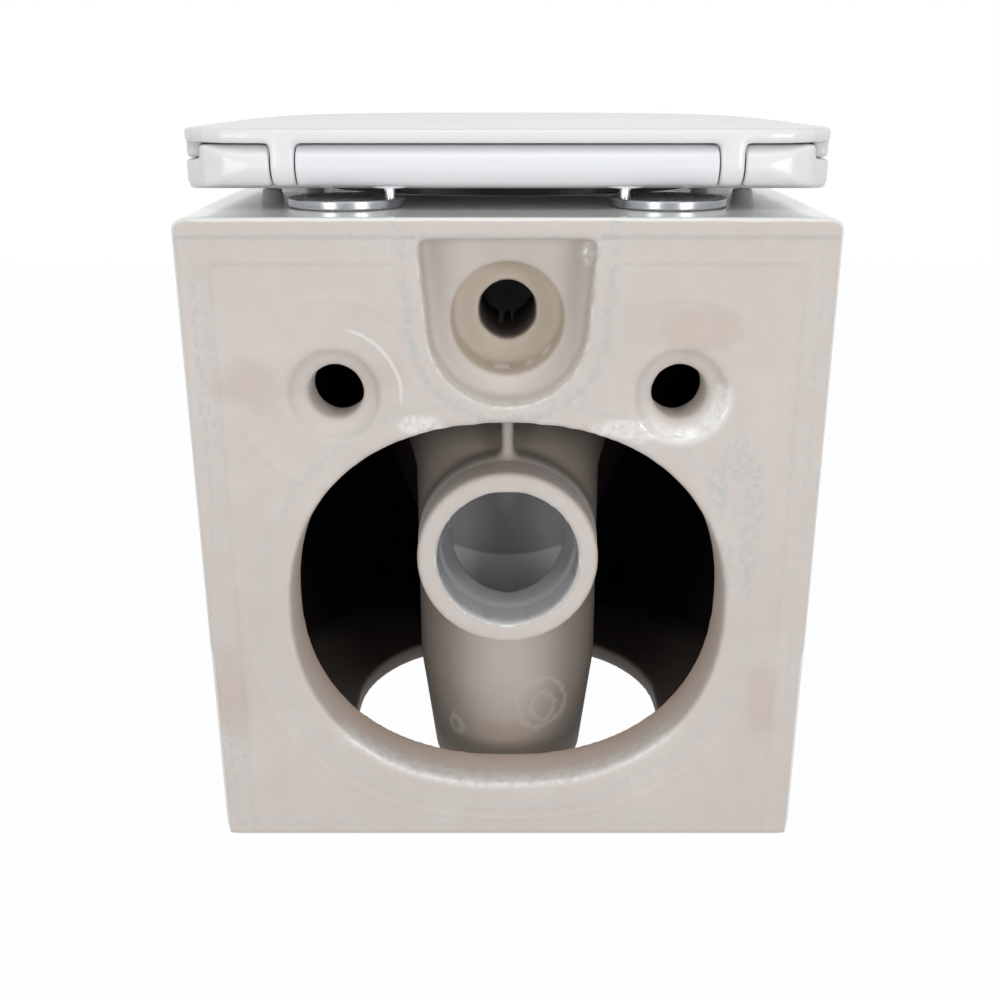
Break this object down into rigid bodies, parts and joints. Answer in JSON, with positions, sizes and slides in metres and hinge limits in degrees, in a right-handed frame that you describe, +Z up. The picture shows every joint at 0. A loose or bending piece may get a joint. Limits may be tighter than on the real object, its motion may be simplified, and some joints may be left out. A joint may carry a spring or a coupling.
{
  "type": "wall hung toilet",
  "caption": "Wall hung toilet with a hollow squarish pan open at the back, and a soft-close seat and lid that lift off steel discs.",
  "frame": {"origin": "on the wall plane, midway between the two wall bolts", "axes": "+Z up, +Y towards the wall, +X to the left of a seated user"},
  "size_m": [0.36, 0.523, 0.398],
  "materials": {
    "vitreous_china": "white glaze outside, in the bowl and in the water ways, bare beige bisque on the wall side",
    "white_thermoset": "gloss",
    "white_plastic": "gloss",
    "white_nylon": "satin",
    "grey_plastic": "matte",
    "stainless_steel": "brushed",
    "chrome_steel": "polished",
    "zinc_steel": "bright zinc plate",
    "spring_steel": "satin",
    "cast_zinc": "as cast",
    "brass": "turned",
    "black_rubber": "matte",
    "grey_rubber": "matte",
    "clear_rubber": "satin"
  },
  "bodies": {
    "root": {"ceramic_pan": "vitreous_china", "left_disc_gasket": "grey_rubber", "right_disc_gasket": "grey_rubber", "left_base_plate": "cast_zinc", "right_base_plate": "cast_zinc", "left_hinge_disc": "stainless_steel", "right_hinge_disc": "stainless_steel", "left_hinge_pin": "chrome_steel", "right_hinge_pin": "chrome_steel", "left_fixing_stud": "zinc_steel", "right_fixing_stud": "zinc_steel", "left_rubber_bush": "black_rubber", "right_rubber_bush": "black_rubber", "left_bush_nut": "brass", "right_bush_nut": "brass"},
    "hinge_unit": {"hinge_housing": "white_plastic", "left_pin_collar": "white_nylon", "right_pin_collar": "white_nylon", "left_pin_clip": "spring_steel", "right_pin_clip": "spring_steel", "left_damper": "grey_plastic", "right_damper": "grey_plastic"},
    "left_button": {"left_release_button": "white_nylon"},
    "right_button": {"right_release_button": "white_nylon"},
    "seat": {"left_spindle": "zinc_steel", "seat_ring": "white_thermoset", "seat_bumpers": "clear_rubber", "seat_bushes": "grey_plastic"},
    "lid": {"right_spindle": "zinc_steel", "lid_panel": "white_thermoset", "lid_bumpers": "clear_rubber", "lid_bushes": "grey_plastic"}
  },
  "joints": [
    {"name": "hinge_release", "type": "slide", "parent": "root", "child": "hinge_unit", "axis": [0, 0, 1], "range_m": [0, 0.03]},
    {"name": "seat_lift", "type": "hinge", "parent": "hinge_unit", "child": "seat", "pos_m": [0, -0.045, 0.1124], "axis": [-1, 0, 0], "range_deg": [0, 93]},
    {"name": "lid_lift", "type": "hinge", "parent": "seat", "child": "lid", "pos_m": [0, -0.045, 0.1124], "axis": [1, 0, 0], "range_deg": [-93, 0]},
    {"name": "left_button_press", "type": "slide", "parent": "hinge_unit", "child": "left_button", "axis": [0, 0, 1], "range_m": [0, 0.0012], "stiffness_N_per_m": 200},
    {"name": "right_button_press", "type": "slide", "parent": "hinge_unit", "child": "right_button", "axis": [0, 0, 1], "range_m": [0, 0.0012], "stiffness_N_per_m": 200}
  ]
}
